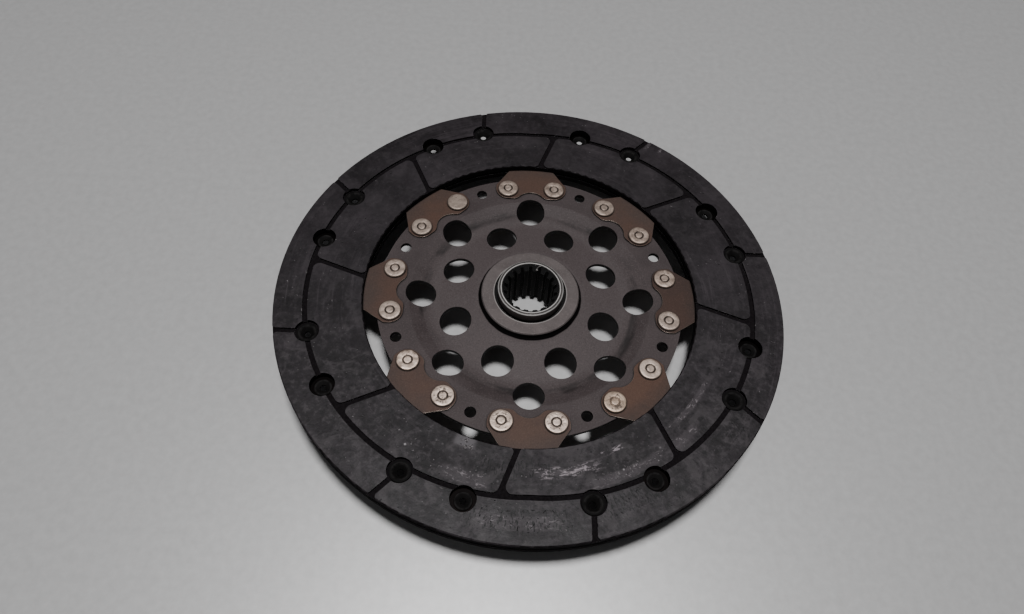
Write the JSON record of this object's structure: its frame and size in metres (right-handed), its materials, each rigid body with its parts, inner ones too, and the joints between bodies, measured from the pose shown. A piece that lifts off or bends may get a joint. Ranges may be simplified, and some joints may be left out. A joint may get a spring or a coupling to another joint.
{
  "type": "clutch disc",
  "caption": "Rigid clutch disc: splined hub, dished carrier plate with lightening holes, waved cushion segments and two riveted, grooved friction facings.",
  "frame": {"origin": "on the hub axis, at the hub's lower end face, the face that the disc stands on", "axes": "+Z along the hub axis towards the gearbox side, +Y through the middle of one cushion segment, X to the right of it"},
  "size_m": [0.235, 0.235, 0.027],
  "materials": {
    "hub_steel": "forged and turned steel, grey phosphate, bright turned end face",
    "plate_steel": "pressed sheet steel, warm dark grey phosphate, matte",
    "friction_composite": "moulded organic friction material, matte charcoal, scuffed and pitted",
    "spring_steel": "tempered spring strip, brown oxide, satin",
    "rivet_steel": "bright rivet steel, warm silver, satin",
    "hollow_rivet_steel": "dark coated hollow rivet"
  },
  "bodies": {
    "root": {"hub": "hub_steel", "carrier_plate": "plate_steel", "facing_gearbox_side": "friction_composite", "facing_flywheel_side": "friction_composite", "cushion_segment_1": "spring_steel", "cushion_segment_2": "spring_steel", "cushion_segment_3": "spring_steel", "cushion_segment_4": "spring_steel", "cushion_segment_5": "spring_steel", "cushion_segment_6": "spring_steel", "cushion_segment_7": "spring_steel", "cushion_segment_8": "spring_steel", "segment_rivet_01": "rivet_steel", "segment_rivet_02": "rivet_steel", "segment_rivet_03": "rivet_steel", "segment_rivet_04": "rivet_steel", "segment_rivet_05": "rivet_steel", "segment_rivet_06": "rivet_steel", "segment_rivet_07": "rivet_steel", "segment_rivet_08": "rivet_steel", "segment_rivet_09": "rivet_steel", "segment_rivet_10": "rivet_steel", "segment_rivet_11": "rivet_steel", "segment_rivet_12": "rivet_steel", "segment_rivet_13": "rivet_steel", "segment_rivet_14": "rivet_steel", "segment_rivet_15": "rivet_steel", "segment_rivet_16": "rivet_steel", "facing_rivet_01": "hollow_rivet_steel", "facing_rivet_02": "hollow_rivet_steel", "facing_rivet_03": "hollow_rivet_steel", "facing_rivet_04": "hollow_rivet_steel", "facing_rivet_05": "hollow_rivet_steel", "facing_rivet_06": "hollow_rivet_steel", "facing_rivet_07": "hollow_rivet_steel", "facing_rivet_08": "hollow_rivet_steel", "facing_rivet_09": "hollow_rivet_steel", "facing_rivet_10": "hollow_rivet_steel", "facing_rivet_11": "hollow_rivet_steel", "facing_rivet_12": "hollow_rivet_steel", "facing_rivet_13": "hollow_rivet_steel", "facing_rivet_14": "hollow_rivet_steel", "facing_rivet_15": "hollow_rivet_steel", "facing_rivet_16": "hollow_rivet_steel"}
  },
  "joints": []
}
